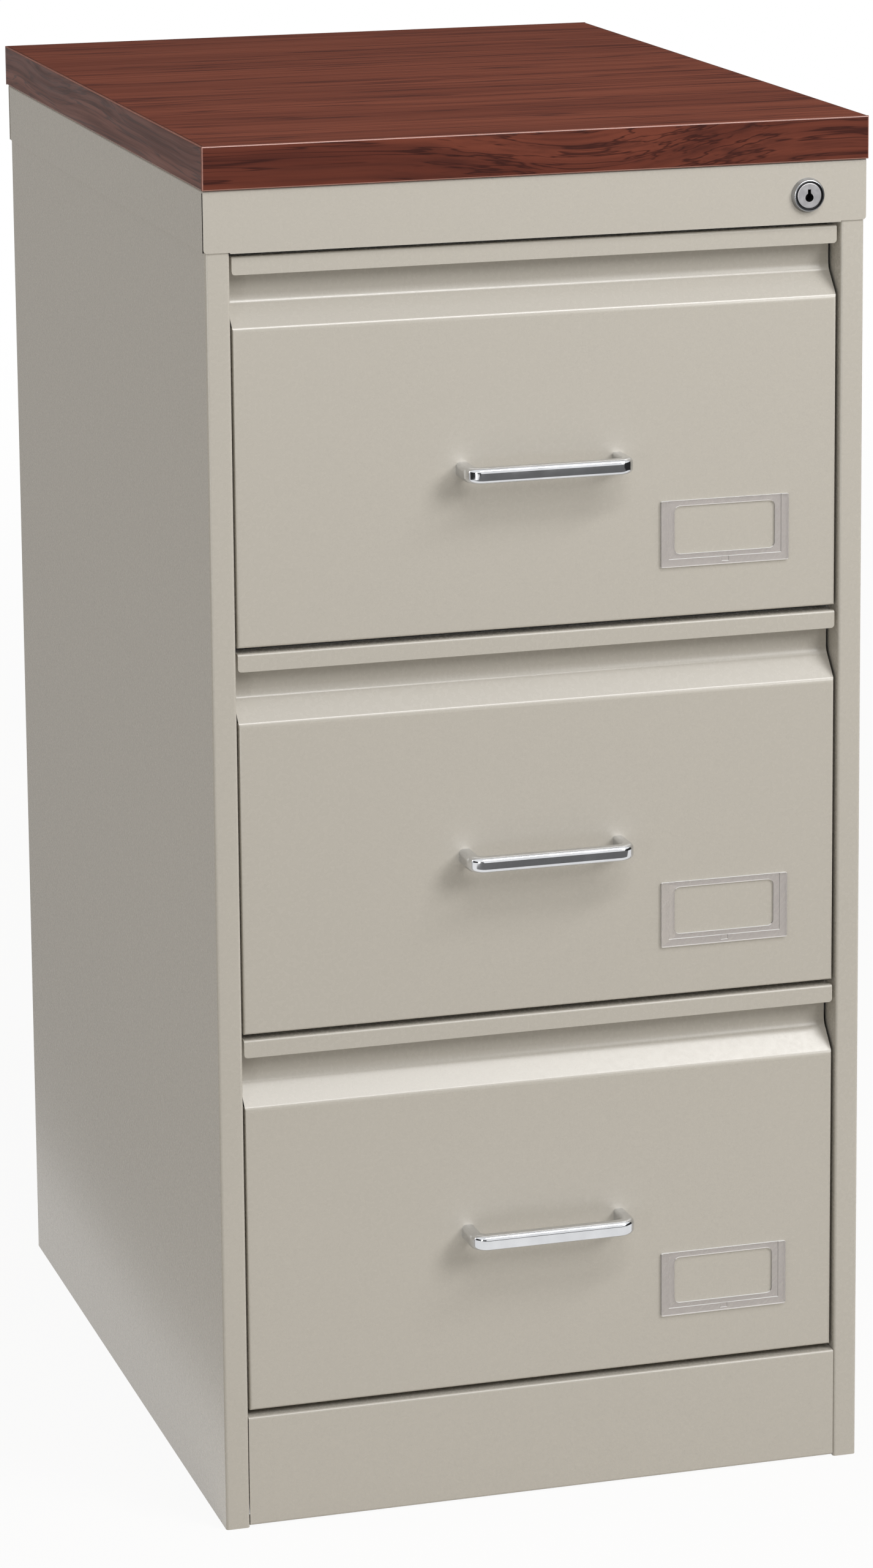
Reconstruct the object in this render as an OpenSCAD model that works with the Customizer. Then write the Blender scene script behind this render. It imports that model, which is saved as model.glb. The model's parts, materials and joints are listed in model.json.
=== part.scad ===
// Three-drawer steel filing cabinet with a laminated wood top.
// Millimetres. The origin is on the floor at the middle of the body; the drawers open towards -Y and +Z is up.

/* [Body] */
// Width across the two side panels
body_w = 470; // [392:1:564]
// Depth from the post faces to the rear flanges
body_d = 622; // [519:1:746]
// Height from the floor to the top of the steel cap
body_h = 946; // [789:1:1135]
// Thickness of the body sheet
body_t = 1; // [0.8:0.1:1.2]
// Width of each front post
post_w = 17; // [15:0.5:20]
// Gap between each post return and the upright behind it
post_gap = 3.6; // [3:0.2:5]
// Width of the flange that each side panel folds behind the back
rear_flange = 18; // [15:1:22]
// Depth of the skirt that the cap drops over the body
cap_drop = 42.5; // [38:0.5:51]
// Height of the plinth below the drawers
plinth_h = 81; // [67:1:97]

/* [Wood top] */
// Thickness of the board
board_t = 30; // [25:1:36]
// Board past the body at each side
board_side = 2; // [1.5:0.5:4]
// Board past the post faces
board_front = 3.5; // [2:0.5:6]
// Board past the rear flanges
board_back = 6.5; // [4:0.5:10]
// Thickness of the edging strips
edging_t = 2; // [1:0.5:3]

/* [Drawer fronts] */
// Thickness of the drawer sheet
drawer_t = 0.8; // [0.7:0.1:1]
// Gap between one drawer front and the next, and above the plinth
front_gap = 4; // [3:0.5:5]
// Gap between the top drawer front and the cap
cap_gap = 3.5; // [3:0.5:5]
// Gap between a drawer front and each post
side_gap = 2; // [1.5:0.5:3]
// How far the drawer faces sit behind the post faces
face_recess = 3; // [1:0.5:4]
// Gap between the finger recess and the liner behind it
liner_gap = 2.7; // [2:0.1:4]
// Height of the lip along the top edge
lip_h = 12.5; // [10:0.5:15]
// Height from the top edge down to the crease where the finger recess starts
recess_h = 50; // [42:1:60]
// Depth of the finger recess
recess_d = 16.5; // [14:0.5:20]

/* [Handles and label holders] */
// Distance between the two handle screws
handle_pitch = 112; // [96:1:134]
// Handle height above the bottom edge of its drawer front
handle_z = 114; // [95:1:137]
// How far a handle stands off the drawer face
handle_out = 30; // [25:1:36]
// Height of the handle bar
handle_h = 11; // [9:0.5:13]
// Width of each handle leg
handle_leg = 9; // [8:0.5:11]
// Width of a label holder
label_w = 94; // [78:1:113]
// Height of a label holder
label_h = 47; // [40:1:56]
// Label holder centre above the bottom edge of its drawer front
label_z = 59; // [50:1:70]
// Gap from a label holder to the right edge of its drawer front
label_edge = 35; // [29:1:42]

/* [Drawer trays and slides] */
// Height of the tray floor above the bottom edge of its drawer front
tray_lift = 6; // [5:0.5:8]
// Height from the top of the tray sides to the tray above
head_clear = 43; // [36:1:52]
// Free depth behind the trays
rear_clear = 36; // [30:1:44]
// Gap between the tray side and the upright, filled by a slide
slide_gap = 13; // [10.8:0.1:16]
// Height of the outer slide channel
slide_h = 45; // [40:0.5:54]
// Slide centre above the bottom edge of its drawer front
slide_z = 70; // [60:1:84]
// Length of slide that stays overlapped at full travel, shared by the three channels
slide_overlap = 30; // [25:1:120]

/* [Lock] */
// Distance from the right post face edge to the lock centre
lock_in = 42; // [38:1:50]
// Height of the lock centre above the lower edge of the cap
lock_z = 19; // [16:0.5:22]
// Radius of the lock barrel
lock_r = 9.5; // [8.5:0.5:11]
// Radius from the lock axis to the pin that lifts the lock bar
crank_r = 9; // [8:0.5:10.5]

/* [Hidden] */
$fn = 48;
ROWS = ["bottom", "middle", "top"];
DRAWER_PARTS = ["front", "liner", "tray", "file_rails", "handle", "handle_screws",
    "label_holder", "lock_catch", "slide_inner", "slide_middle", "outer_cage", "inner_cage"];
BODY_PARTS = ["left_side_panel", "right_side_panel", "back_panel", "top_cap", "wood_board", "board_edging",
    "front_plinth", "base_frame", "floor_pan", "front_uprights", "rear_uprights", "cross_rails",
    "cabinet_slides", "drawer_buffers", "back_screws", "board_screws", "lock_housing", "lock_nut",
    "lock_bar_guides", "lock_plug", "lock_crank", "crank_screw", "lock_bar"];

STEEL = "#bdb9af";
ZINC = "#b9bcc0";
CHROME = "#dfe2e6";
WOOD = "#6b3026";
EDGE = "#5c261e";
CLEAR = [0.85, 0.87, 0.88, 0.4];
NYLON = "#e9e7e0";
RUBBER = "#2b2b2c";

// Body planes
side_x = body_w / 2;
front_y = -body_d / 2;
back_y = body_d / 2;
inner_x = side_x - body_t;
open_x = side_x - post_w;
cap_z = body_h - cap_drop;
cap_hem = 0.8;
bend = 1.8;
bend_steps = 4;
fit = 0.3;
seam = 0.1;
bend_clear = bend - body_t / 2 + 0.2;

// Drawer rows
rows = len(ROWS);
row_pitch = (cap_z - cap_gap - plinth_h) / rows;
front_h = row_pitch - front_gap;
front_x = open_x - side_gap;
face_y = front_y + face_recess;
liner_y = face_y + recess_d + drawer_t + liner_gap;
tray_y = liner_y + drawer_t;
tray_h = row_pitch - head_clear;
tray_end = back_y - body_t - rear_clear;
tray_x = open_x - slide_gap;
function row_z(i) = plinth_h + front_gap + i * row_pitch;

// File rails and the cross rail above each drawer
rail_t = 1;
rail_rise = 4;
rail_lip = 6;
rail_in = 7.2;
rail_drop = 21;
cross_h = 18;
cross_deep = 22;
cross_z = row_pitch + tray_lift - cross_h - 5;
cross_y = tray_y + 3.2;
upright_y = cross_y - 1.4;
upright_deep = 29;
upright_t = 1.2;
upright_top = cap_z + 2;
floor_z = 20;
post_end = upright_y - post_gap;

// Telescopic slides: three nested channels with balls between their flanges
slide_t = 1.2;
ball_r = 1.6;
ball_play = 0.1;
cage_t = 0.6;
cage_balls = 6;
cage_play = 0.3;
slide_y = tray_y + 2;
slide_len = tray_end - slide_y - 8;
middle_len = slide_len - 8;
travel = slide_len - slide_overlap;
cage_len = middle_len - travel / 2 - 40;
cage_y = slide_y + (slide_len - cage_len) / 2 - 4;
outer_z = slide_h / 2;
middle_z = outer_z - slide_t - 2 * (ball_r + ball_play);
inner_z = middle_z - slide_t - 2 * (ball_r + ball_play);
outer_ball_z = middle_z + ball_r + ball_play;
inner_ball_z = inner_z + ball_r + ball_play;
outer_cage_web = open_x - slide_t - cage_play - cage_t;
middle_web = outer_cage_web - cage_play;
inner_cage_web = middle_web - slide_t - cage_play;
flange_tip = open_x - 9.5;
inner_tip = open_x - 6.4;
outer_ball_x = open_x - 6.6;
inner_ball_x = open_x - 8.1;

// Lock
axis_x = side_x - lock_in;
axis_z = cap_z + lock_z;
lock_face = front_y - body_t;
bezel_out = 4;
bezel_r = lock_r + 2.6;
plug_r = lock_r - 0.8;
plug_play = 0.05;
crank_t = 2;
barrel_end = post_end - crank_t;
crank_y = barrel_end + 0.4;
pin_r = 2.2;
pin_slack = 0.5;
lock_lift = 2 * crank_r * sin(45);
bar_t = 2;
bar_x = open_x + 4;
bar_y = upright_y + upright_t + 2.2;
bar_w = 12;
fork_y = crank_y + crank_t + 0.4;
pin_z = axis_z - crank_r * sin(45);
hook_h = 12;
hook_gap = 2;
hook_z = slide_z + slide_h / 2 + 42;
catch_y = bar_y + bar_t + 3;
catch_reach = 10;
guide_h = 14;
guide_up = 60;

// ---- Folded sheet ----

function unit(v) = v / norm(v);
function left_of(v) = [-v[1], v[0]];
function turned(v, q) = [v[0] * cos(q) - v[1] * sin(q), v[0] * sin(q) + v[1] * cos(q)];
function reversed(list) = [for (i = [len(list) - 1 : -1 : 0]) list[i]];

// One face of a strip that follows path: the path moved left by off, with each bend an arc.
// radius is the centreline radius of every bend, or a list with one value for each point.
function strip_side(path, radius, off) = [
    for (i = [0 : len(path) - 1])
        let (
            ends = i == 0 || i == len(path) - 1,
            a = i == 0 ? unit(path[1] - path[0]) : unit(path[i] - path[i - 1]),
            b = ends ? a : unit(path[i + 1] - path[i]),
            turn = atan2(a[0] * b[1] - a[1] * b[0], a * b),
            s = sign(turn),
            r = is_list(radius) ? radius[i] : radius,
            centre = path[i] - r * tan(abs(turn) / 2) * a + s * r * left_of(a),
            start = -s * (r - s * off) * left_of(a)
        )
        each ends ? [path[i] + off * left_of(a)]
            : [for (k = [0 : bend_steps]) centre + turned(start, turn * k / bend_steps)]
];

// Outline of a folded sheet of thickness t whose centreline follows path
function strip(path, t, r = bend) = concat(strip_side(path, r, t / 2), reversed(strip_side(path, r, -t / 2)));

// Corner points of a rectangle with round corners, centred
function round_rect(w, h, r) = [
    for (corner = [0 : 3])
        let (sx = corner == 0 || corner == 3 ? 1 : -1, sy = corner < 2 ? 1 : -1)
        for (k = [0 : bend_steps])
            [sx * (w / 2 - r), sy * (h / 2 - r)] + turned([r, 0], 90 * corner + 90 * k / bend_steps)
];

// Outlines pushed along one axis: [y, z] along X, [x, z] along Y, [x, y] along Z
module along_x(outline, half_w) {
    rotate([90, 0, 90]) linear_extrude(2 * half_w, center = true) polygon(outline);
}
module along_y(outline, y0, y1) {
    translate([0, y1, 0]) rotate([90, 0, 0]) linear_extrude(y1 - y0) polygon(outline);
}
module along_z(outline, z0, z1) {
    translate([0, 0, z0]) linear_extrude(z1 - z0) polygon(outline);
}
module block(low, high) {
    translate(low) cube(high - low);
}
module rod_y(x, z, r, y0, y1) {
    translate([x, y1, z]) rotate([90, 0, 0]) cylinder(r = r, h = y1 - y0);
}
module both_sides() {
    children();
    mirror([1, 0, 0]) children();
}

// ---- Body ----

screw_r = 1.7;
screw_head_r = 4;
screw_head_t = 2.2;
screw_play = 0.05;
back_screw_x = side_x - rear_flange / 2;
back_screw_zs = [for (k = [0 : 3]) 60 + k * (cap_z - 100) / 3];

module back_screw_holes() {
    for (z = back_screw_zs) rod_y(-back_screw_x, z, screw_r + screw_play, back_y - 2.5 * body_t, back_y + 1);
}

// One sheet: rear flange, side, post face and post return
module side_panel() {
    h = body_t / 2;
    path = [
        [-side_x + rear_flange, back_y - h],
        [-side_x + h, back_y - h],
        [-side_x + h, front_y + h],
        [-open_x - h, front_y + h],
        [-open_x - h, post_end]
    ];
    color(STEEL) difference() {
        along_z(strip(path, body_t), 0, body_h - body_t - bend_clear);
        back_screw_holes();
    }
}

module back_panel() {
    color(STEEL) difference() {
        block([bend_clear - inner_x, back_y - 2 * body_t, 0],
            [inner_x - bend_clear, back_y - body_t, body_h - body_t - bend_clear]);
        both_sides() back_screw_holes();
    }
}

board_screw_x = side_x - 55;
board_screw_y = back_y - 60;
board_hole_r = 2;

// Top sheet with a skirt on all four sides, and a hem folded back under the front one between the posts
module top_cap() {
    h = body_t / 2;
    hem = cap_z - cap_hem + h;
    saddle = [[-side_x - h, cap_z], [-side_x - h, body_h - h], [side_x + h, body_h - h], [side_x + h, cap_z]];
    front = [[front_y - h, cap_z], [front_y - h, body_h - h], [front_y + 10, body_h - h]];
    rear = [[back_y + h, cap_z], [back_y + h, body_h - h], [back_y - 10, body_h - h]];
    hemmed = [[front_y + 14, hem], [front_y - h, hem], [front_y - h, cap_z + 6]];
    color(STEEL) difference() {
        union() {
            along_y(strip(saddle, body_t), front_y + fit, back_y - fit);
            along_x(strip(front, body_t), side_x + body_t / 2);
            along_x(strip(rear, body_t), side_x + body_t / 2);
            along_x(strip(hemmed, body_t), open_x - fit);
        }
        rod_y(axis_x, axis_z, lock_r + 0.1, front_y - 5, front_y + 5);
        for (x = [-1, 1], y = [-1, 1])
            translate([x * board_screw_x, y * board_screw_y, body_h - 5]) cylinder(r = board_hole_r + 0.2, h = 8);
    }
}

board_lo = [-side_x - board_side, front_y - board_front, body_h];
board_hi = [side_x + board_side, back_y + board_back, body_h + board_t];
board_screw_in = 20;

// Core board inside its edging, drilled from below for the four screws
module wood_board() {
    e = [edging_t, edging_t, 0];
    color(WOOD) difference() {
        block(board_lo + e, board_hi - e);
        for (x = [-1, 1], y = [-1, 1])
            translate([x * board_screw_x, y * board_screw_y, body_h - 1])
                cylinder(r = board_hole_r + screw_play, h = board_screw_in + 2);
    }
}

// Front and back strips run the full width, and the side strips fit between them
module board_edging() {
    color(EDGE) {
        for (y = [board_lo[1], board_hi[1] - edging_t])
            block([board_lo[0], y, body_h], [board_hi[0], y + edging_t, board_hi[2]]);
        for (x = [board_lo[0], board_hi[0] - edging_t])
            block([x, board_lo[1] + edging_t, body_h], [x + edging_t, board_hi[1] - edging_t, board_hi[2]]);
    }
}

module board_screws() {
    color(ZINC) for (x = [-1, 1], y = [-1, 1])
        translate([x * board_screw_x, y * board_screw_y, 0]) {
            translate([0, 0, body_h - body_t - screw_head_t]) cylinder(r = screw_head_r, h = screw_head_t);
            translate([0, 0, body_h - body_t]) cylinder(r = board_hole_r, h = body_t + board_screw_in);
        }
}

module back_screws() {
    color(ZINC) both_sides() for (z = back_screw_zs) {
        rod_y(back_screw_x, z, screw_head_r, back_y, back_y + screw_head_t);
        rod_y(back_screw_x, z, screw_r, back_y - 7, back_y);
    }
}

plinth_recess = 0.5;
plinth_lift = 1;
plinth_top_deep = 19;

// Front plate with its top edge folded back and down, and its foot folded back
module front_plinth() {
    h = body_t / 2;
    y = front_y + plinth_recess;
    path = [
        [y + 18, plinth_lift + h],
        [y + h, plinth_lift + h],
        [y + h, plinth_h - h],
        [y + plinth_top_deep, plinth_h - h],
        [y + plinth_top_deep, plinth_h - 14]
    ];
    color(STEEL) along_x(strip(path, body_t), open_x - fit);
}

frame_t = 1.5;
frame_leg = 25;
base_y = upright_y - 1;
base_end = back_y - body_t - bend_clear;

// Ring of angle steel that the cabinet stands on
module base_frame() {
    low = [-inner_x, base_y, 0];
    high = [inner_x, base_end, floor_z];
    wall = [frame_t, frame_t, 0];
    leg = [frame_leg, frame_leg, 0];
    color(ZINC) difference() {
        block(low, high);
        block(low + wall + [0, 0, frame_t], high - wall + [0, 0, 1]);
        block(low + leg - [0, 0, 1], high - leg + [0, 0, 1]);
    }
}

module floor_pan() {
    color(ZINC) block([-inner_x, base_y, floor_z], [inner_x, base_end, floor_z + body_t]);
}

// Channel against the side panel whose web carries the slides
module upright(y) {
    h = upright_t / 2;
    path = [[inner_x, y + h], [open_x + h, y + h], [open_x + h, y + upright_deep - h], [inner_x, y + upright_deep - h]];
    along_z(strip(path, upright_t), floor_z + body_t, upright_top);
}

// The right one has a window for each hook of the lock bar
module front_uprights() {
    color(ZINC) {
        mirror([1, 0, 0]) upright(upright_y);
        difference() {
            upright(upright_y);
            for (i = [0 : rows - 1])
                translate([0, 0, row_z(i) + hook_z])
                    block([open_x - 1, bar_y - 1, -2], [open_x + 3, bar_y + bar_t + 1, hook_h + lock_lift + 2]);
        }
    }
}

module rear_uprights() {
    color(ZINC) both_sides() upright(slide_y + slide_len - upright_deep);
}

// Channel across the body above each drawer, open at the back
module cross_rails() {
    h = body_t / 2;
    deep = cross_y + cross_deep;
    section = [[deep, h], [cross_y + h, h], [cross_y + h, cross_h - h], [deep, cross_h - h]];
    color(ZINC) for (i = [0 : rows - 1])
        translate([0, 0, row_z(i) + cross_z]) along_x(strip(section, body_t), open_x);
}

buffer_r = 5;
buffer_x = tray_x - 55;
buffer_up = 6;

// Rubber discs on the cross rails that the drawer liners close against
module drawer_buffers() {
    color(RUBBER) both_sides() for (i = [0 : rows - 1])
        rod_y(buffer_x, row_z(i) + cross_z + buffer_up, buffer_r, tray_y + fit, cross_y);
}

// ---- Slides ----

// Half-section of a channel as [x, z], open towards the tip
function channel(web, tip, z, t) = let (s = sign(web - tip), h = t / 2)
    strip([[tip, h - z], [web - s * h, h - z], [web - s * h, z - h], [tip, z - h]], t, 1.1);

module slide_pair(outline, y0, y1) {
    both_sides() along_y(outline, y0, y1);
}

module cabinet_slides() {
    color(ZINC) for (i = [0 : rows - 1])
        translate([0, 0, row_z(i) + slide_z])
            slide_pair(channel(open_x, flange_tip, outer_z, slide_t), slide_y, slide_y + slide_len);
}

module slide_middle() {
    color(ZINC) translate([0, 0, slide_z])
        slide_pair(channel(middle_web, flange_tip, middle_z, slide_t), slide_y, slide_y + middle_len);
}

module slide_inner() {
    color(ZINC) translate([0, 0, slide_z])
        slide_pair(channel(tray_x, inner_tip, inner_z, slide_t), slide_y, slide_y + slide_len - 4);
}

// Strip that holds two rows of balls, and the balls in their holes
module ball_cage(web, tip, z, ball_x) {
    pitch = cage_len / cage_balls;
    ys = [for (k = [0 : cage_balls - 1]) cage_y + pitch * (k + 0.5)];
    both_sides() translate([0, 0, slide_z]) {
        color(ZINC) difference() {
            along_y(strip([[tip, -z], [web, -z], [web, z], [tip, z]], cage_t, 0.8), cage_y, cage_y + cage_len);
            for (y = ys) translate([ball_x, y, -z - 3]) cylinder(r = ball_r + 0.05, h = 2 * z + 6);
        }
        color(CHROME) for (y = ys, s = [-1, 1]) translate([ball_x, y, s * z]) sphere(r = ball_r);
    }
}

module outer_cage() {
    ball_cage(outer_cage_web + cage_t / 2, flange_tip, outer_ball_z, outer_ball_x);
}

module inner_cage() {
    ball_cage(inner_cage_web - cage_t / 2, flange_tip - 0.6, inner_ball_z, inner_ball_x);
}

// ---- Drawer, drawn with the bottom edge of its front at z = 0 ----

handle_screw_r = 1.95;
corner_in = 2.5;
recess_bend = 8;

// Skin: bottom return, face, finger recess and lip from one sheet, with side returns behind the face
module drawer_front() {
    h = drawer_t / 2;
    face = face_y + h;
    crease = front_h - recess_h;
    wall = face + recess_d;
    lower = [[liner_y, h], [face, h], [face, crease - 6]];
    upper = [
        [face, crease - 12],
        [face, crease],
        [wall, crease + recess_d + 2],
        [wall, front_h - h],
        [face, front_h - h],
        [face, front_h - lip_h]
    ];
    radii = [0, bend, recess_bend, bend, bend, 0];
    edge = [[front_x - h, liner_y], [front_x - h, face], [front_x - 12, face]];
    color(STEEL) difference() {
        union() {
            along_x(strip(lower, drawer_t), front_x - corner_in);
            along_x(strip(upper, drawer_t, radii), front_x);
            both_sides() along_z(strip(edge, drawer_t), corner_in, crease - 2);
        }
        for (s = [-1, 1]) rod_y(s * handle_pitch / 2, handle_z, handle_screw_r + 0.25, face_y - 2, face_y + 3);
    }
}

// Flat plate that closes the back of the front
module front_liner() {
    color(STEEL) block([-front_x, liner_y, 0], [front_x, tray_y, front_h - 2]);
}

wall_drop = 18;

// Floor and sides folded from one sheet, with a flat wall against each end
module tray() {
    h = drawer_t / 2;
    x = tray_x - h;
    top = tray_lift + tray_h;
    section = [[-x, top], [-x, tray_lift + h], [x, tray_lift + h], [x, top]];
    color(STEEL) {
        along_y(strip(section, drawer_t), tray_y + drawer_t + seam, tray_end - drawer_t - seam);
        for (y = [tray_y, tray_end - drawer_t])
            block([-tray_x, y, tray_lift], [tray_x, y + drawer_t, top - wall_drop]);
    }
}

// Rails on the tray sides that suspension files hang from
module file_rails() {
    wall = tray_x - drawer_t - rail_t / 2;
    top = tray_lift + tray_h + rail_rise;
    path = [[wall, top - rail_drop], [wall, top], [wall - rail_in, top], [wall - rail_in, top + rail_lip]];
    color(ZINC) both_sides() along_y(strip(path, rail_t, 1.4), tray_y + 2, tray_end - 2);
}

// Bow handle seen from above: a bar between two legs with round corners
module handle() {
    half = (handle_pitch + handle_leg) / 2;
    bar = 8;
    outer_r = 12;
    inner_r = 6;
    color(CHROME) difference() {
        translate([0, face_y, handle_z - handle_h / 2]) linear_extrude(handle_h) difference() {
            union() {
                translate([-half, outer_r - handle_out]) square([2 * half, handle_out - outer_r]);
                translate([outer_r - half, -handle_out]) square([2 * (half - outer_r), handle_out]);
                for (s = [-1, 1]) translate([s * (half - outer_r), outer_r - handle_out]) circle(r = outer_r);
            }
            union() {
                translate([handle_leg - half, bar + inner_r - handle_out])
                    square([2 * (half - handle_leg), handle_out]);
                translate([handle_leg + inner_r - half, bar - handle_out])
                    square([2 * (half - handle_leg - inner_r), handle_out]);
                for (s = [-1, 1])
                    translate([s * (half - handle_leg - inner_r), bar + inner_r - handle_out]) circle(r = inner_r);
            }
        }
        for (s = [-1, 1]) rod_y(s * handle_pitch / 2, handle_z, handle_screw_r + 0.05, face_y - 15, face_y + 1);
    }
}

module handle_screws() {
    color(ZINC) for (s = [-1, 1]) {
        rod_y(s * handle_pitch / 2, handle_z, 4, face_y + drawer_t, face_y + drawer_t + 2.4);
        rod_y(s * handle_pitch / 2, handle_z, handle_screw_r, face_y - 12, face_y + drawer_t);
    }
}

label_t = 2;
label_slot = 0.7;
label_rim = 5.7;
window_w = label_w - 20;
window_h = label_h - 13;
window_up = 2.4;

// Clear frame with a window and a card slot that is open at the top
module label_holder() {
    x = front_x - label_edge - label_w / 2;
    color(CLEAR) translate([x, face_y, label_z]) difference() {
        along_y(round_rect(label_w, label_h, 1.2), -label_t, 0);
        along_y([for (p = round_rect(window_w, window_h, 4)) p + [0, window_up]], -label_t - 1, 1);
        block([label_rim - label_w / 2, -label_slot, label_rim - label_h / 2],
            [label_w / 2 - label_rim, 1, label_h]);
        block([-2.5, -label_t - 1, label_rim - label_h / 2 - 2.5], [2.5, 0.6 - label_t, label_rim - label_h / 2]);
    }
}

// Bracket on the right side of the tray that a hook of the lock bar stands in front of
module lock_catch() {
    low = hook_z + hook_h + hook_gap;
    color(ZINC) {
        block([tray_x, catch_y, low], [tray_x + 1.5, catch_y + 30, low + 24]);
        block([tray_x, catch_y, low], [tray_x + catch_reach, catch_y + 1.5, low + 24]);
    }
}

// ---- Lock ----

module lock_housing() {
    color(CHROME) difference() {
        union() {
            translate([axis_x, lock_face, axis_z]) rotate([90, 0, 0])
                cylinder(r1 = bezel_r, r2 = lock_r + 0.8, h = bezel_out);
            rod_y(axis_x, axis_z, lock_r, lock_face, barrel_end);
        }
        rod_y(axis_x, axis_z, plug_r + plug_play, lock_face - bezel_out - 1, barrel_end + 1);
    }
}

module lock_nut() {
    across = lock_r + 3;
    color(ZINC) difference() {
        translate([axis_x, front_y + 4, axis_z]) rotate([90, 0, 0]) cylinder(r = across, h = 4, $fn = 6);
        rod_y(axis_x, axis_z, lock_r + 0.05, front_y - 1, front_y + 5);
    }
}

tail_r = 3;
key_deep = 12;
crank_hole = 1.5;

// Cylinder that the key turns, with its keyway and the tail that carries the crank
module lock_plug() {
    front = lock_face - bezel_out + 0.4;
    color(CHROME) difference() {
        union() {
            rod_y(axis_x, axis_z, plug_r, front, barrel_end + 0.2);
            rod_y(axis_x, axis_z, tail_r, barrel_end, crank_y + crank_t);
        }
        block([axis_x - 0.8, front - 1, axis_z - 4], [axis_x + 0.8, front + key_deep, axis_z + 4.6]);
        rod_y(axis_x, axis_z - 2, 2.2, front - 1, front + key_deep - 1);
        rod_y(axis_x, axis_z, crank_hole + screw_play, barrel_end - 6, crank_y + crank_t + 1);
    }
}

// Arm on the plug whose pin lifts the lock bar
module lock_crank() {
    color(ZINC) translate([axis_x, crank_y + crank_t, axis_z]) rotate([90, 0, 0]) difference() {
        union() {
            cylinder(r = 6, h = crank_t);
            rotate(-45) translate([0, -4, 0]) cube([crank_r, 8, crank_t]);
            rotate(-45) translate([crank_r, 0, 0]) cylinder(r = 4, h = crank_t);
            rotate(-45) translate([crank_r, 0, -4]) cylinder(r = pin_r, h = 4);
        }
        translate([0, 0, -5]) cylinder(r = tail_r + 0.05, h = 10);
    }
}

module crank_screw() {
    y = crank_y + crank_t;
    color(ZINC) {
        rod_y(axis_x, axis_z, tail_r + 0.4, y, y + 1.6);
        rod_y(axis_x, axis_z, crank_hole, barrel_end - 5, y);
    }
}

fork_h = 14;
hook_tip = tray_x + 3.5;

// Strip inside the right front upright, with a hook for each drawer and a bracket that forks round the crank pin
module lock_bar() {
    tab_x = bar_x + bar_t + seam;
    slot = pin_r + pin_slack;
    color(ZINC) {
        block([bar_x, bar_y, row_z(0) + hook_z - 10], [bar_x + bar_t, bar_y + bar_w, pin_z + fork_h / 2]);
        for (i = [0 : rows - 1])
            translate([0, 0, row_z(i) + hook_z])
                block([hook_tip, bar_y, 0], [bar_x - seam, bar_y + bar_t, hook_h]);
        translate([0, 0, pin_z]) difference() {
            block([axis_x + tail_r + 0.8, fork_y, -fork_h / 2], [tab_x + bar_t, bar_y + bar_w, fork_h / 2]);
            block([0, fork_y + bar_t, -fork_h], [tab_x, bar_y + bar_w + 1, fork_h]);
            block([0, fork_y - 1, -slot], [axis_x + crank_r + slot, fork_y + bar_t + 1, slot]);
        }
    }
}

// Nylon blocks in the upright that keep the lock bar upright
module lock_bar_guides() {
    color(NYLON) for (i = [0 : rows - 1])
        translate([0, 0, row_z(i) + hook_z + guide_up]) difference() {
            block([open_x + upright_t, bar_y - 1, 0], [bar_x + bar_t + 3, bar_y + bar_w + 3, guide_h]);
            block([bar_x - fit, bar_y - fit, -1], [bar_x + bar_t + fit, bar_y + bar_w + fit, guide_h + 1]);
        }
}

// ---- Nodes ----

side_panel();  // left_side_panel
mirror([1, 0, 0]) side_panel();  // right_side_panel
back_panel();
top_cap();
wood_board();
board_edging();
front_plinth();
base_frame();
floor_pan();
front_uprights();
rear_uprights();
cross_rails();
cabinet_slides();
drawer_buffers();
back_screws();
board_screws();
lock_housing();
lock_nut();
lock_bar_guides();
lock_plug();
lock_crank();
crank_screw();
lock_bar();

for (i = [0 : rows - 1]) translate([0, 0, row_z(i)]) {
    row = ROWS[i];
    drawer_front();
    front_liner();
    tray();
    file_rails();
    handle();
    handle_screws();
    label_holder();
    lock_catch();
    slide_inner();
    slide_middle();
    outer_cage();
    inner_cage();
}
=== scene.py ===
# %% [markdown]
# # A steel filing cabinet with three drawers
# The construction of the cabinet is already fixed: every sheet, slide and screw comes in at its real size, and each
# drawer hangs on its own body, so that it can be pulled out. This file dresses that frame. The sheets that people
# see are folded again here with round bends, the chrome and the clear plastic get their soft edges, and every
# surface gets a finish.

# %% Load the frame
import json
import math
import bmesh
import bpy
from mathutils import Matrix, Vector


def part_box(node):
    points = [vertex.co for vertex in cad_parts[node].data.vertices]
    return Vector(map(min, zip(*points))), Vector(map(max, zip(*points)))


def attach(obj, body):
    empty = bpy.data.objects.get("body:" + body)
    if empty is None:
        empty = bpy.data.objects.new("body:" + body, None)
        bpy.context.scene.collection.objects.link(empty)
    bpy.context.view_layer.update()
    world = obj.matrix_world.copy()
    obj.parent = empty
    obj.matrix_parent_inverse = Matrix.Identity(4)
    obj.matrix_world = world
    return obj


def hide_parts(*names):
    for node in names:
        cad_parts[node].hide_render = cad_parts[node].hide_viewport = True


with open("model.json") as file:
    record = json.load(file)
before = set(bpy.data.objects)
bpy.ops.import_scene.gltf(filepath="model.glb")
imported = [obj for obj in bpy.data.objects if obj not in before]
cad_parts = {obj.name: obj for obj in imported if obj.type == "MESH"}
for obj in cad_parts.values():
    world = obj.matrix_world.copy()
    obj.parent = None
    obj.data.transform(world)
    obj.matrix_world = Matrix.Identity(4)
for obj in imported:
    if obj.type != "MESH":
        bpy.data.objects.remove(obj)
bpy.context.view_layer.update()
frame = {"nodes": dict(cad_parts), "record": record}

MM = 0.001
ROWS = ("bottom", "middle", "top")

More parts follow.
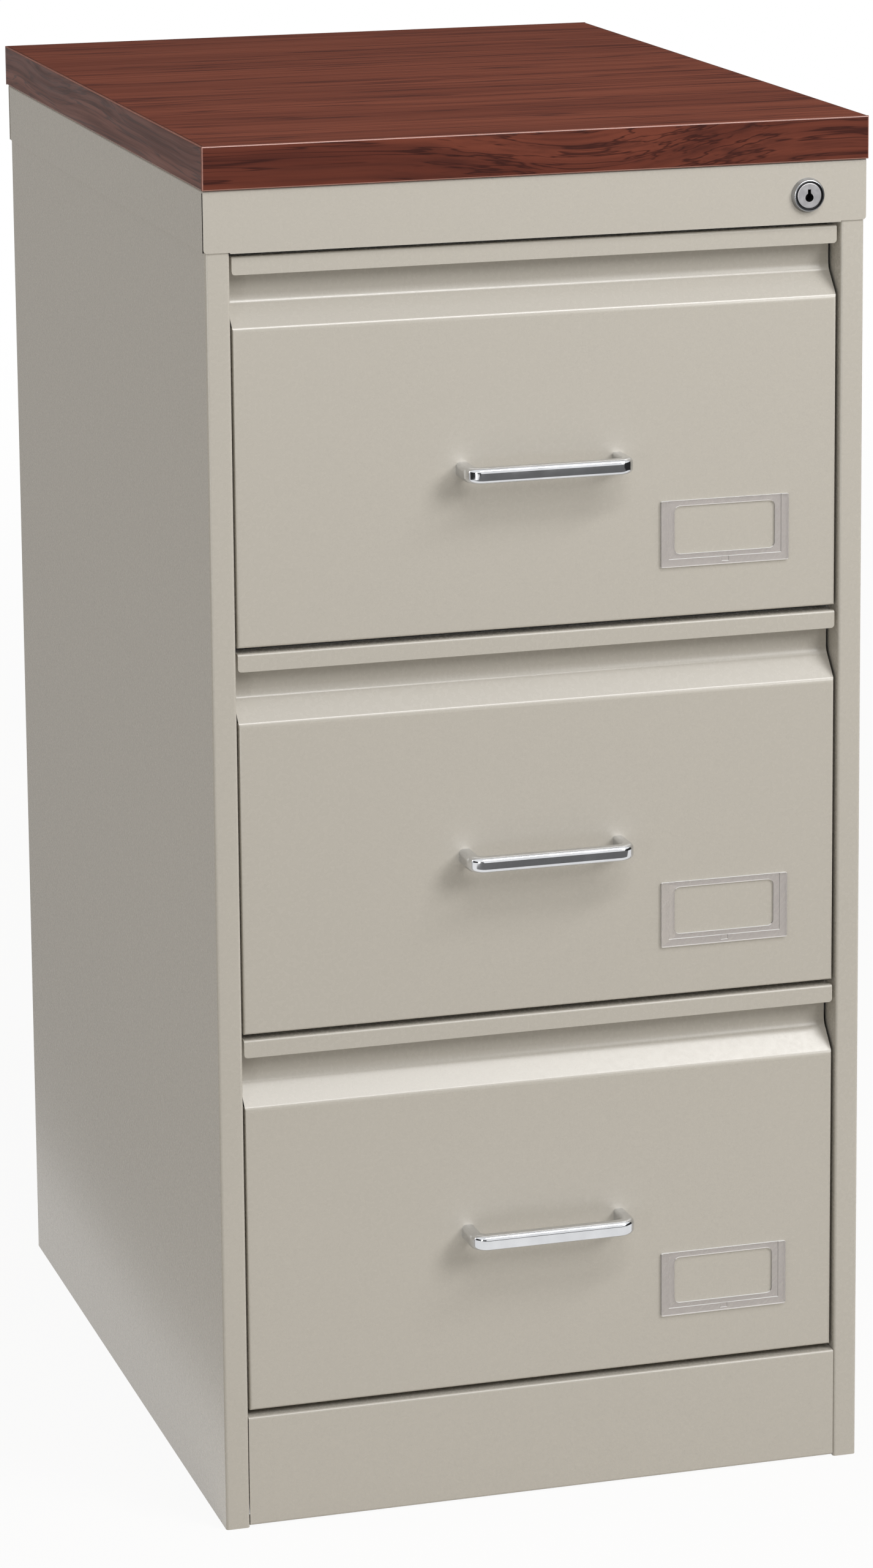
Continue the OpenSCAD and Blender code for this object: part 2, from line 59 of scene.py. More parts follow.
# %% [markdown]
# ## Working by hand, in code
# A modeller clicks a face and then runs a tool. Here `pick` does the clicking: it goes into edit mode and selects
# the faces, edges or points whose middle passes a test. The tools themselves are Blender's own operators, which act
# on whatever is selected, so everything is deselected before a new primitive comes in.

# %% Selecting
def at(a, b):
    """True where two lengths agree to a twentieth of a millimetre."""
    return abs(a - b) < 0.05 * MM


def pick(piece, kind, test):
    """Selects the "VERT", "EDGE" or "FACE" items of piece whose middle and direction pass the test."""
    bpy.ops.object.mode_set(mode="EDIT")
    bpy.ops.mesh.select_mode(type=kind)
    bpy.ops.mesh.select_all(action="DESELECT")
    mesh = bmesh.from_edit_mesh(piece.data)
    mesh.normal_update()
    for item in {"VERT": mesh.verts, "EDGE": mesh.edges, "FACE": mesh.faces}[kind]:
        corners = [item.co] if kind == "VERT" else [v.co for v in item.verts]
        middle = sum(corners, Vector()) / len(corners)
        way = item.normal if kind != "EDGE" else (corners[1] - corners[0]).normalized()
        if test(middle, way):
            item.select_set(True)
    mesh.select_flush_mode()
    bmesh.update_edit_mesh(piece.data)


def in_object_mode(piece):
    """Leaves edit mode with piece alone selected."""
    if bpy.context.object and bpy.context.object.mode != "OBJECT":
        bpy.ops.object.mode_set(mode="OBJECT")
    bpy.ops.object.select_all(action="DESELECT")
    if piece:
        piece.select_set(True)
        bpy.context.view_layer.objects.active = piece


# %% [markdown]
# ## Starting shapes
# Every piece begins as a primitive at its true size and place. A block is a cube pulled between two corners, and a
# sheet is a plane stood up in the direction that it faces. The scale is applied at once, so that every later length
# is a real one.

# %% Primitives
def named(name):
    """The new primitive, under its name, with its place and scale moved into its mesh."""
    piece = bpy.context.object
    piece.name = name
    piece.data.name = name
    bpy.ops.object.transform_apply(location=True, rotation=True, scale=True)
    return piece


def start_block(name, low, high):
    """A cube pulled between two corners."""
    in_object_mode(None)
    low, high = Vector(low), Vector(high)
    bpy.ops.mesh.primitive_cube_add(size=1, location=(low + high) / 2)
    bpy.context.object.scale = high - low
    return named(name)


def start_sheet(name, low, high, facing):
    """A flat sheet between two corners that share one coordinate. It faces "-Y", "-X", "+X" or "+Z"."""
    in_object_mode(None)
    low, high = Vector(low), Vector(high)
    quarter = math.pi / 2
    turn = {"-Y": (quarter, 0, 0), "-X": (quarter, 0, -quarter), "+X": (quarter, 0, quarter), "+Z": (0, 0, 0)}[facing]
    size = high - low
    upright = (size.y, size.z, 1)
    flat = {"-Y": (size.x, size.z, 1), "-X": upright, "+X": upright, "+Z": (size.x, size.y, 1)}[facing]
    bpy.ops.mesh.primitive_plane_add(size=1, location=(low + high) / 2, rotation=turn)
    bpy.context.object.scale = flat
    return named(name)


def start_rod(name, centre, radius, length, sides=96):
    """A cylinder along Y whose front end lies at centre."""
    in_object_mode(None)
    middle = Vector(centre) + Vector((0, length / 2, 0))
    bpy.ops.mesh.primitive_cylinder_add(vertices=sides, radius=radius, depth=length, location=middle,
                                        rotation=(math.pi / 2, 0, 0))
    return named(name)


# %% [markdown]
# ## Folding sheet metal
# A press brake bends a flat blank along straight lines. The same steps work here: pick the edge of the sheet,
# extrude it once for each flange, bevel the fold lines into round bends, and thicken the skin inwards last, so that
# the outside keeps its true size.

# %% Fold, bend and thicken
def fold(piece, test, *flanges):
    """Extrudes the edges that pass the test by each flange in turn. A flange is a step in metres."""
    pick(piece, "EDGE", test)
    for flange in flanges:
        bpy.ops.mesh.extrude_region_move(TRANSFORM_OT_translate={"value": flange})


def bend(piece, test, radius, segments=5):
    """Rounds the fold lines that pass the test. radius is how far the bend reaches from the line."""
    pick(piece, "EDGE", test)
    bpy.ops.mesh.bevel(offset=radius, offset_type="OFFSET", segments=segments, affect="EDGES", profile=0.5,
                       clamp_overlap=False)


def round_corners(piece, test, radius, segments=5):
    """Rounds the outline of a sheet at the corner points that pass the test."""
    pick(piece, "VERT", test)
    bpy.ops.mesh.bevel(offset=radius, offset_type="OFFSET", segments=segments, affect="VERTICES", profile=0.5,
                       clamp_overlap=False)


def apply_modifier(piece, kind, **settings):
    """Adds one modifier and applies it."""
    in_object_mode(piece)
    modifier = piece.modifiers.new(kind.title(), kind)
    for key, value in settings.items():
        setattr(modifier, key, value)
    bpy.ops.object.modifier_apply(modifier=modifier.name)


def recalculate_normals(piece):
    pick(piece, "FACE", lambda middle, way: True)
    bpy.ops.mesh.normals_make_consistent(inside=False)


def thicken(piece, thickness):
    """Gives the skin its wall, inwards from the outside face."""
    apply_modifier(piece, "SOLIDIFY", thickness=thickness, offset=-1, use_even_offset=True)


def ease_edges(piece, width, segments=2, angle=50):
    """Breaks every sharp edge by a small round, as paint and tumbling do."""
    apply_modifier(piece, "BEVEL", width=width, segments=segments, limit_method="ANGLE",
                   angle_limit=math.radians(angle), harden_normals=False)


def cut(piece, cutter):
    """Takes the cutter out of piece, and throws the cutter away."""
    apply_modifier(piece, "BOOLEAN", operation="DIFFERENCE", solver="EXACT", object=cutter)
    bpy.data.objects.remove(cutter)

# %% [markdown]
# ## Finishes
# A finish is a short chain of nodes on Object coordinates, so that it stays on the piece when a drawer slides. The
# helpers below add one node, join two sockets and blend between two colours.

# %% Node helpers
def new_finish(name):
    """A new material, with its node tree."""
    material = bpy.data.materials.new(name)
    material.use_nodes = True
    return material, material.node_tree


def node(tree, kind, inputs=None, **settings):
    """Adds a node, sets its properties, and fills its inputs with values or with other nodes' outputs."""
    new = tree.nodes.new(kind)
    for key, value in settings.items():
        setattr(new, key, value)
    for key, value in (inputs or {}).items():
        if isinstance(value, bpy.types.NodeSocket):
            tree.links.new(value, new.inputs[key])
        else:
            new.inputs[key].default_value = value
    return new


def object_coords(tree, turn=(0, 0, 0), shift=(0, 0, 0)):
    """Object coordinates in metres, turned and moved by a Mapping node."""
    coords = node(tree, "ShaderNodeTexCoord").outputs["Object"]
    return node(tree, "ShaderNodeMapping", {"Vector": coords, "Rotation": turn, "Location": shift}).outputs["Vector"]


def noise(tree, vector, scale, detail=2.0, roughness=0.5):
    settings = {"Vector": vector, "Scale": scale, "Detail": detail, "Roughness": roughness}
    return node(tree, "ShaderNodeTexNoise", settings).outputs["Fac"]


def remap(tree, value, low, high, to_low, to_high):
    """Stretches a value from one range to another, and eases it into both ends."""
    ends = {"Value": value, "From Min": low, "From Max": high, "To Min": to_low, "To Max": to_high}
    return node(tree, "ShaderNodeMapRange", ends, interpolation_type="SMOOTHSTEP").outputs["Result"]


def blend_colours(tree, share, first, second):
    """Mixes two colours, each a value or another node's output."""
    mix = node(tree, "ShaderNodeMix", data_type="RGBA")
    for socket, value in ((mix.inputs[0], share), (mix.inputs[6], first), (mix.inputs[7], second)):
        if isinstance(value, bpy.types.NodeSocket):
            tree.links.new(value, socket)
        else:
            socket.default_value = value
    return mix.outputs[2]


def bumps(tree, height, distance, strength):
    """Turns a height into a normal."""
    return node(tree, "ShaderNodeBump", {"Height": height, "Distance": distance, "Strength": strength}
                ).outputs["Normal"]


def connect(tree, **outputs):
    """Joins outputs to the shader's sockets."""
    shader = tree.nodes["Principled BSDF"]
    for socket, output in outputs.items():
        tree.links.new(output, shader.inputs[socket.replace("_", " ")])


# %% [markdown]
# ## Powder coat
# The sheets wear a satin greige powder coat. It is one colour, but never perfectly flat: the powder melts into a
# fine orange peel with small darker specks. So one fine noise makes the peel, and another the specks and the little
# that the gloss varies between them. A slow, wide noise was left out, because its outline showed on the flat sheets.

# %% The powder coat
def powder_coat(name, colour, gloss=0.27):
    material, tree = new_finish(name)
    tree.nodes["Principled BSDF"].inputs["Specular IOR Level"].default_value = 0.40
    grain = noise(tree, object_coords(tree), 260, detail=2)
    darker = [c * 0.96 for c in colour] + [1]
    speck = blend_colours(tree, remap(tree, grain, 0.3, 0.7, 0.0, 0.35), list(colour) + [1], darker)
    peel = noise(tree, object_coords(tree), 900, detail=2, roughness=0.6)
    connect(tree, Base_Color=speck,
            Roughness=remap(tree, grain, 0.3, 0.7, gloss - 0.015, gloss + 0.015),
            Normal=bumps(tree, peel, 0.02 * MM, 0.35))
    return material


PAINT = powder_coat("greige powder coat", (0.500, 0.470, 0.415))
# A nearly black coat: painted shade for the sheared ends in the cap's seam.
SEAM_SHADE_PAINT = powder_coat("painted shade in the seam", (0.050, 0.046, 0.040))

# %% [markdown]
# ## Mahogany laminate
# A printed laminate shows straight fine grain with a few darker streaks that swell and fade. Noise stretched along
# the grain gives the fibres, a slower noise gives the broad bands, and a ridge taken from a third one gives the thin
# dark lines. The edging strips are printed from wilder wood, so their lines wander more. The rounded arris of each
# strip gets a paler, glossier finish, a painted highlight that draws the light line along the board's front.

# %% The wood finishes
def laminate(name, light, mid, dark, along="X", wander=0.35, band=9.0, gloss=0.33, lines=0.75, spacing=70):
    material, tree = new_finish(name)
    tree.nodes["Principled BSDF"].inputs["Specular IOR Level"].default_value = 0.10
    turn = (0, 0, 0) if along == "X" else (0, 0, math.pi / 2)
    coords = object_coords(tree, turn=turn, shift=(0.37, 0.21, 0.13))
    sway = noise(tree, node(tree, "ShaderNodeMapping", {"Vector": coords, "Scale": (3.0, 7.0, 7.0)}).outputs["Vector"],
                 1.0, detail=1.5)
    reach = 0.02 * wander
    aside = node(tree, "ShaderNodeCombineXYZ", {"Y": remap(tree, sway, 0, 1, -reach, reach),
                                                "Z": remap(tree, sway, 0, 1, -reach, reach)}).outputs["Vector"]
    lifted = node(tree, "ShaderNodeVectorMath", {0: coords, 1: aside}, operation="ADD").outputs["Vector"]

    def stretched(x, y, scale, detail, rough=0.55):
        mapped = node(tree, "ShaderNodeMapping", {"Vector": lifted, "Scale": (x, y, y)}).outputs["Vector"]
        return noise(tree, mapped, scale, detail, rough)

    bands = stretched(0.9, band, 1.6, 3)
    fibres = stretched(4.0, 210, 1.0, 3)
    pores = stretched(22, 620, 1.0, 1)
    streaks = stretched(2.2, spacing, 1.0, 3, 0.5)
    ridge = node(tree, "ShaderNodeMath", {0: node(tree, "ShaderNodeMath", {0: streaks, 1: 0.5},
                                                  operation="SUBTRACT").outputs[0]}, operation="ABSOLUTE").outputs[0]
    line = remap(tree, ridge, 0.0, 0.035, lines, 0.0)
    tone = blend_colours(tree, remap(tree, bands, 0.32, 0.68, 0, 1), mid + (1,), light + (1,))
    tone = blend_colours(tree, remap(tree, fibres, 0.35, 0.75, 0.0, 0.55), tone, dark + (1,))
    tone = blend_colours(tree, line, tone, dark + (1,))
    tone = blend_colours(tree, remap(tree, pores, 0.6, 0.8, 0.0, 0.4), tone, [c * 0.6 for c in dark] + [1])
    connect(tree, Base_Color=tone,
            Roughness=remap(tree, fibres, 0.3, 0.7, gloss - 0.03, gloss + 0.05),
            Normal=bumps(tree, pores, 0.03 * MM, 0.25))
    return material


BOARD_WOOD = laminate("mahogany laminate", (0.275, 0.076, 0.042), (0.205, 0.054, 0.030), (0.080, 0.021, 0.014),
                      lines=0.9)
EDGE_WOOD = laminate("mahogany edging", (0.165, 0.045, 0.027), (0.105, 0.027, 0.017), (0.036, 0.010, 0.008),
                     wander=1.3, band=22.0, lines=0.85, spacing=150)
SIDE_WOOD = laminate("mahogany side edging", (0.190, 0.066, 0.042), (0.125, 0.042, 0.028), (0.050, 0.017, 0.012),
                     along="Y", wander=1.3, band=22.0, lines=0.85, spacing=150)
# The arris is painted paler as a highlight, and made glossier.
ARRIS_HIGHLIGHT_WOOD = laminate("edging arris painted highlight", (0.46, 0.22, 0.17), (0.38, 0.17, 0.13), (0.26, 0.11, 0.08), lines=0.3)
ARRIS_HIGHLIGHT_WOOD.node_tree.nodes["Principled BSDF"].inputs["Specular IOR Level"].default_value = 0.45

# %% [markdown]
# ## Metals, plastic and rubber
# Chrome is nearly a mirror, so it needs only a trace of unevenness. The lock's plug is turned, and shows fine rings.
# Zinc plating is duller and cloudy. The label holder is clear; its level rims get a whiter, less see-through version
# of the same plastic as a painted highlight, and its upright edges a darker one, a painted shade for the light that
# they turn away sideways. A nearly black steel is painted shade in the lock's groove, bore and keyway.

# %% Chrome, zinc and the rest
def polished_chrome(name, shade=1.0, gloss=0.06):
    material, tree = new_finish(name)
    haze = noise(tree, object_coords(tree), 60, detail=3)
    dull, clean = ([c * shade for c in tone] + [1] for tone in ((0.66, 0.67, 0.69), (0.74, 0.75, 0.77)))
    tint = blend_colours(tree, remap(tree, haze, 0.3, 0.7, 0, 1), dull, clean)
    tree.nodes["Principled BSDF"].inputs["Metallic"].default_value = 1.0
    connect(tree, Base_Color=tint, Roughness=remap(tree, haze, 0.3, 0.7, gloss, gloss + 0.06))
    return material


def turned_steel(name, centre):
    """Satin steel with fine rings round an axis along Y."""
    material, tree = new_finish(name)
    coords = object_coords(tree, shift=(-centre.x, 0, -centre.z))
    parts = node(tree, "ShaderNodeSeparateXYZ", {"Vector": coords}).outputs
    square = [node(tree, "ShaderNodeMath", {0: parts[a], 1: 2.0}, operation="POWER").outputs[0] for a in ("X", "Z")]
    radius = node(tree, "ShaderNodeMath", {0: node(tree, "ShaderNodeMath", {0: square[0], 1: square[1]}).outputs[0],
                                           1: 0.5}, operation="POWER").outputs[0]
    ring = node(tree, "ShaderNodeCombineXYZ", {"X": radius}).outputs["Vector"]
    rings = noise(tree, ring, 5200, detail=2)
    cloud = noise(tree, object_coords(tree), 420, detail=2)
    tone = blend_colours(tree, remap(tree, rings, 0.3, 0.7, 0, 1), (0.42, 0.415, 0.42, 1), (0.54, 0.53, 0.54, 1))
    tree.nodes["Principled BSDF"].inputs["Metallic"].default_value = 1.0
    connect(tree, Base_Color=tone, Roughness=remap(tree, cloud, 0.3, 0.7, 0.30, 0.42),
            Normal=bumps(tree, rings, 0.01 * MM, 0.3))
    return material


def zinc_plate(name):
    material, tree = new_finish(name)
    spangle = node(tree, "ShaderNodeTexVoronoi", {"Vector": object_coords(tree), "Scale": 130.0})
    cloud = noise(tree, object_coords(tree), 22, detail=4)
    flakes = blend_colours(tree, spangle.outputs["Color"], (0.52, 0.53, 0.55, 1), (0.60, 0.61, 0.63, 1))
    tone = blend_colours(tree, remap(tree, cloud, 0.3, 0.7, 0.0, 0.5), flakes, (0.66, 0.66, 0.65, 1))
    tree.nodes["Principled BSDF"].inputs["Metallic"].default_value = 0.9
    connect(tree, Base_Color=tone, Roughness=remap(tree, cloud, 0.3, 0.7, 0.30, 0.44),
            Normal=bumps(tree, noise(tree, object_coords(tree), 700, detail=2), 0.02 * MM, 0.3))
    return material


def moulded(name, colour, gloss, grain=500):
    """Rubber or nylon, with the fine texture of its mould."""
    material, tree = new_finish(name)
    skin = noise(tree, object_coords(tree), grain, detail=3)
    tone = blend_colours(tree, skin, [c * 0.85 for c in colour] + [1], [min(1, c * 1.1) for c in colour] + [1])
    connect(tree, Base_Color=tone, Roughness=remap(tree, skin, 0.3, 0.7, gloss - 0.05, gloss + 0.05),
            Normal=bumps(tree, skin, 0.05 * MM, 0.4))
    return material


def clear_plastic(name, colour, cover, gloss):
    """Clear styrene. cover is how much of what lies behind it hides."""
    material, tree = new_finish(name)
    shader = tree.nodes["Principled BSDF"]
    shader.inputs["Alpha"].default_value = cover
    shader.inputs["IOR"].default_value = 1.55
    flow = noise(tree, object_coords(tree), 30, detail=1)
    tone = blend_colours(tree, flow, [c * 0.96 for c in colour] + [1], colour + (1,))
    connect(tree, Base_Color=tone, Roughness=remap(tree, flow, 0.3, 0.7, gloss, gloss + 0.04))
    return material


CHROME = polished_chrome("polished chrome")
BEZEL_CHROME = polished_chrome("worn chrome", shade=0.50, gloss=0.20)
# A nearly black steel: painted shade for the lock's groove, bore and keyway.
GROOVE_SHADE_STEEL = polished_chrome("painted shade steel", shade=0.09, gloss=0.45)
ZINC = zinc_plate("zinc plate")
RUBBER = moulded("black rubber", (0.03, 0.03, 0.031), 0.7)
NYLON = moulded("natural nylon", (0.78, 0.76, 0.70), 0.42)
CLEAR = clear_plastic("clear styrene", (0.86, 0.81, 0.81), 0.26, 0.12)
# The rim finish is a painted highlight and the side finish a painted shade for the holder's edges.
CLEAR_RIM_HIGHLIGHT = clear_plastic("clear styrene painted highlight", (0.98, 0.98, 0.97), 0.80, 0.05)
CLEAR_SIDE_SHADE = clear_plastic("clear styrene painted shade", (0.30, 0.29, 0.29), 0.60, 0.05)

# %% [markdown]
# ## Handing a piece over
# A finished piece gets its normals smoothed across the bends but not across real edges. They are weighted by area, so
# that a large flat face keeps its own direction and only the bends turn the light. Then come its finish, the body
# that it moves with, and the names of the construction parts that it stands for.

# %% Finishing a piece
def hand_over(piece, body, slot, material, *replaced, angle=32):
    in_object_mode(piece)
    bpy.ops.object.shade_smooth_by_angle(angle=math.radians(angle))
    apply_modifier(piece, "WEIGHTED_NORMAL", keep_sharp=True)
    if material:
        piece.data.materials.clear()
        piece.data.materials.append(material)
    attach(piece, body)
    if replaced:
        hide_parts(*replaced)
    print(f"{piece.name}: {len(piece.data.polygons)} faces")


def copy_up(piece, name, rise):
    """A copy of piece with its own mesh, moved up by rise."""
    in_object_mode(piece)
    bpy.ops.object.duplicate(linked=False)
    copy = bpy.context.object
    copy.name = name
    copy.data.name = name
    copy.location.z += rise
    bpy.ops.object.transform_apply(location=True, rotation=False, scale=False)
    return copy


# %% [markdown]
# ## The side panels
# Each side is one long sheet. Its front edge is folded round into the post beside the drawers and back again inside,
# and its rear edge is folded behind the cabinet. The folds are made as three extrusions of the sheet's edges. The
# right panel could be a mirrored copy, but a mirror turns a sheet inside out, so both are folded by the same steps,
# with the side given as a sign.

# %% Side panels
SHEET = 1.0 * MM
BEND_R = 2.0 * MM
side_low, side_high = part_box("left_side_panel")
FRONT, BACK = side_low.y, side_high.y
SIDE = -side_low.x
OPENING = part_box("cross_rails")[1].x
POST_W = SIDE - OPENING
POST_RETURN = 22 * MM
REAR_FLANGE = side_high.x - side_low.x


def model_side_panel(name, side):
    """side is -1 for the left panel and 1 for the right one."""
    panel = start_sheet(name, (side * SIDE, FRONT, 0), (side * SIDE, BACK, side_high.z), "-X" if side < 0 else "+X")
    fold(panel, lambda m, w: at(m.y, FRONT), (-side * POST_W, 0, 0), (0, POST_RETURN, 0))
    fold(panel, lambda m, w: at(m.y, BACK) and abs(w.z) > 0.9, (-side * REAR_FLANGE, 0, 0))
    bend(panel, lambda m, w: abs(w.z) > 0.9 and (
        at(abs(m.x), SIDE) or (at(m.y, FRONT) and at(abs(m.x), OPENING))), BEND_R)
    thicken(panel, SHEET)
    return panel


hand_over(model_side_panel("left_side_sheet", -1), "cabinet", "steel_paint", PAINT, "left_side_panel")
hand_over(model_side_panel("right_side_sheet", 1), "cabinet", "steel_paint", PAINT, "right_side_panel")

# %% [markdown]
# ## The plinth
# The kick plate below the drawers is a separate folded strip between the posts. Its top edge turns back and down
# again, so the light catches one soft round bend along it.

# %% Plinth
plinth_low, plinth_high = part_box("front_plinth")
PLINTH_RETURN = 13 * MM
PLINTH_FOOT = 18 * MM


def model_plinth():
    plinth = start_sheet("plinth_sheet", (plinth_low.x, plinth_low.y, plinth_low.z),
                         (plinth_high.x, plinth_low.y, plinth_high.z), "-Y")
    fold(plinth, lambda m, w: at(m.z, plinth_high.z), (0, plinth_high.y - plinth_low.y, 0), (0, 0, -PLINTH_RETURN))
    fold(plinth, lambda m, w: at(m.z, plinth_low.z) and at(m.y, plinth_low.y), (0, PLINTH_FOOT, 0))
    bend(plinth, lambda m, w: abs(w.x) > 0.9 and (
        at(m.z, plinth_high.z) or (at(m.z, plinth_low.z) and at(m.y, plinth_low.y))), BEND_R)
    thicken(plinth, SHEET)
    return plinth


hand_over(model_plinth(), "cabinet", "steel_paint", PAINT, "front_plinth")

# %% [markdown]
# ## The cap
# A shallow lid drops over the steel body and hides the raw top edges of the sheets. It is folded from one sheet with
# notched corners. The front and rear skirts run the full width, and each side skirt starts just behind them, which
# leaves the fine upright seam at the corner. The sheared ends in that seam get a nearly black coat, a painted shade
# that darkens the seam. A hem turns back under the front skirt between the posts, and the lock needs one round hole.

# %% Cap
cap_low, cap_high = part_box("top_cap")
HEM = 0.8 * MM
HEM_DEPTH = 14 * MM
CAP_CORNER_R = 2.5 * MM
HEM_X = OPENING - 0.3 * MM
CORNER_GAP = 2.4 * MM
FLAP_Y = cap_high.y - SHEET - CORNER_GAP
skirt_z = cap_low.z + HEM
lock_low, lock_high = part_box("lock_housing")
LOCK = Vector(((lock_low.x + lock_high.x) / 2, lock_low.y, (lock_low.z + lock_high.z) / 2))
BARREL_R = 9.5 * MM


def model_cap():
    cap = start_sheet("cap_sheet", (cap_low.x, cap_low.y, cap_high.z), cap_high, "+Z")
    for place, across in (((0, -FLAP_Y, 0), (0, 1, 0)), ((0, FLAP_Y, 0), (0, 1, 0)),
                          ((-HEM_X, 0, 0), (1, 0, 0)), ((HEM_X, 0, 0), (1, 0, 0))):
        pick(cap, "FACE", lambda m, w: True)
        bpy.ops.mesh.bisect(plane_co=place, plane_no=across)
    ends = lambda m, w: abs(w.x) > 0.9 and at(abs(m.y), cap_high.y)
    sides = lambda m, w: abs(w.y) > 0.9 and at(abs(m.x), cap_high.x) and abs(m.y) < FLAP_Y
    drop = (0, 0, skirt_z - cap_high.z)
    fold(cap, sides, drop)
    fold(cap, ends, drop)
    fold(cap, lambda m, w: at(m.y, cap_low.y) and at(m.z, skirt_z) and abs(m.x) < HEM_X,
         (0, 0, -HEM), (0, HEM_DEPTH, 0))
    bend(cap, lambda m, w: at(m.z, cap_high.z) and (ends(m, w) or sides(m, w)), BEND_R)
    round_corners(cap, lambda m, w: at(m.y, cap_low.y) and at(abs(m.x), cap_high.x) and at(m.z, skirt_z),
                  CAP_CORNER_R)
    thicken(cap, SHEET)
    cut(cap, start_rod("lock_hole", LOCK - Vector((0, 2 * MM, 0)), BARREL_R + 0.1 * MM, 12 * MM))
    cap.data.materials.append(PAINT)
    cap.data.materials.append(SEAM_SHADE_PAINT)
    # The sheared ends in the seam get the nearly black coat, a painted shade.
    for face in cap.data.polygons:
        face.material_index = 1 if at(abs(face.center.y), FLAP_Y) and abs(face.normal.y) > 0.9 else 0
    return cap


hand_over(model_cap(), "cabinet", "steel_paint", None, "top_cap")

# %% [markdown]
# ## The wood top
# The board is faced with laminate and closed round its rim by four edging strips. The front and rear strips run the
# full width, so their ends show as a fine upright line at the corners. Only the outer arris of each strip is
# rounded, and it is painted paler as a highlight; together these make the light line along the front.

# %% Wood top
board_low, board_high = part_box("wood_board")
rim_low, rim_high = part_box("board_edging")
ARRIS = 1.4 * MM


def model_board():
    board = start_block("veneered_board", board_low, board_high)
    ease_edges(board, 0.12 * MM, segments=1)
    return board


def model_strip(name, low, high, outward, wood):
    strip = start_block(name, low, high)
    face = lambda m: (m.x * outward.x + m.y * outward.y)
    reach = max(face(Vector(low)), face(Vector(high)))
    bend(strip, lambda m, w: at(face(m), reach) and (abs(w.z) < 0.1 or outward.y != 0), ARRIS, segments=4)
    ease_edges(strip, 0.15 * MM, segments=1, angle=60)
    strip.data.materials.append(wood)
    strip.data.materials.append(ARRIS_HIGHLIGHT_WOOD)
    # The rounded arris faces get the paler finish, a painted highlight.
    for arris_face in strip.data.polygons:
        arris_face.material_index = 1 if sum(abs(part) > 0.3 for part in arris_face.normal) > 1 else 0
    return strip


hand_over(model_board(), "cabinet", "wood_laminate", BOARD_WOOD, "wood_board")
T = board_low.x - rim_low.x
front_strip = model_strip("front_edging_strip", rim_low,
                          (rim_high.x, rim_low.y + T, rim_high.z), Vector((0, -1, 0)), EDGE_WOOD)
rear_strip = model_strip("rear_edging_strip", (rim_low.x, rim_high.y - T, rim_low.z),
                         rim_high, Vector((0, 1, 0)), EDGE_WOOD)
left_strip = model_strip("left_edging_strip", (rim_low.x, rim_low.y + T, rim_low.z),
                         (rim_low.x + T, rim_high.y - T, rim_high.z), Vector((-1, 0, 0)), SIDE_WOOD)
right_strip = model_strip("right_edging_strip", (rim_high.x - T, rim_low.y + T, rim_low.z),
                          (rim_high.x, rim_high.y - T, rim_high.z), Vector((1, 0, 0)), SIDE_WOOD)
hand_over(front_strip, "cabinet", "wood_edging", None, "board_edging")
hand_over(rear_strip, "cabinet", "wood_edging", None)
hand_over(left_strip, "cabinet", "wood_edging", None)
hand_over(right_strip, "cabinet", "wood_edging", None)

# %% [markdown]
# ## The drawer fronts
# The face, the finger recess and the lip are folded from one sheet. Going up, the sheet leans back at the crease,
# stands up again as the wall of the recess, comes forward over the fingers and ends in the lip. The sides and the
# foot of the face are folded back as one tray-like rim. The roof and the lip turn their other side to the outside, so
# they are drawn one sheet thickness further in. All three fronts are alike, so one is modelled and copied.

# %% Drawer fronts
LIP_H = 12.5 * MM
RECESS_H = 50 * MM
RECESS_D = 16.5 * MM
SLANT_H = 18.5 * MM
DRAWER_SHEET = 0.8 * MM
LIP_CORNER_R = 2.5 * MM
LIP_BEND = 1.0 * MM
HOLLOW_BEND = 3.6 * MM
front_low, front_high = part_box("bottom_front")
CREASE = front_high.z - RECESS_H
FACE = front_low.y


def model_front():
    front = start_sheet("bottom_drawer_front", (front_low.x, FACE, front_low.z), (front_high.x, FACE, CREASE), "-Y")
    rim = lambda m, w: at(abs(m.x), front_high.x) or at(m.z, front_low.z)
    fold(front, rim, (0, front_high.y - FACE, 0))
    t = DRAWER_SHEET
    roof, lip_y = front_high.z - t, FACE + t
    fold(front, lambda m, w: at(m.z, CREASE) and at(m.y, FACE),
         (0, RECESS_D, SLANT_H), (0, 0, RECESS_H - SLANT_H - t), (0, t - RECESS_D, 0), (0, 0, t - LIP_H))
    lip_end = front_high.z - LIP_H
    round_corners(front, lambda m, w: at(abs(m.x), front_high.x) and at(m.y, lip_y) and at(m.z, lip_end),
                  LIP_CORNER_R)
    bend(front, lambda m, w: abs(w.x) > 0.9 and at(m.y, FACE + RECESS_D) and at(m.z, CREASE + SLANT_H),
         HOLLOW_BEND, 8)
    bend(front, lambda m, w: abs(w.x) > 0.9 and at(m.z, roof), LIP_BEND)
    corner = lambda m, w: at(m.y, FACE) and (at(abs(m.x), front_high.x) or at(m.z, front_low.z) or at(m.z, CREASE))
    bend(front, lambda m, w: corner(m, w) and m.z < CREASE + 1 * MM, BEND_R)
    thicken(front, DRAWER_SHEET)
    return front


# %% [markdown]
# ## The handles
# Each handle is one bar bent like a staple. A rounded section is drawn where the left leg meets the drawer, pulled
# forward, spun a quarter turn round the first bend, pulled across, spun again and pulled back. The edge that faces
# outwards has the larger round.

# %% Handles
handle_low, handle_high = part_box("bottom_handle")
BAR_D = 8.6 * MM
TURN_R = 12 * MM
OUTER_ROUND = 3.4 * MM
INNER_ROUND = 1.8 * MM
WELD = 0.01 * MM


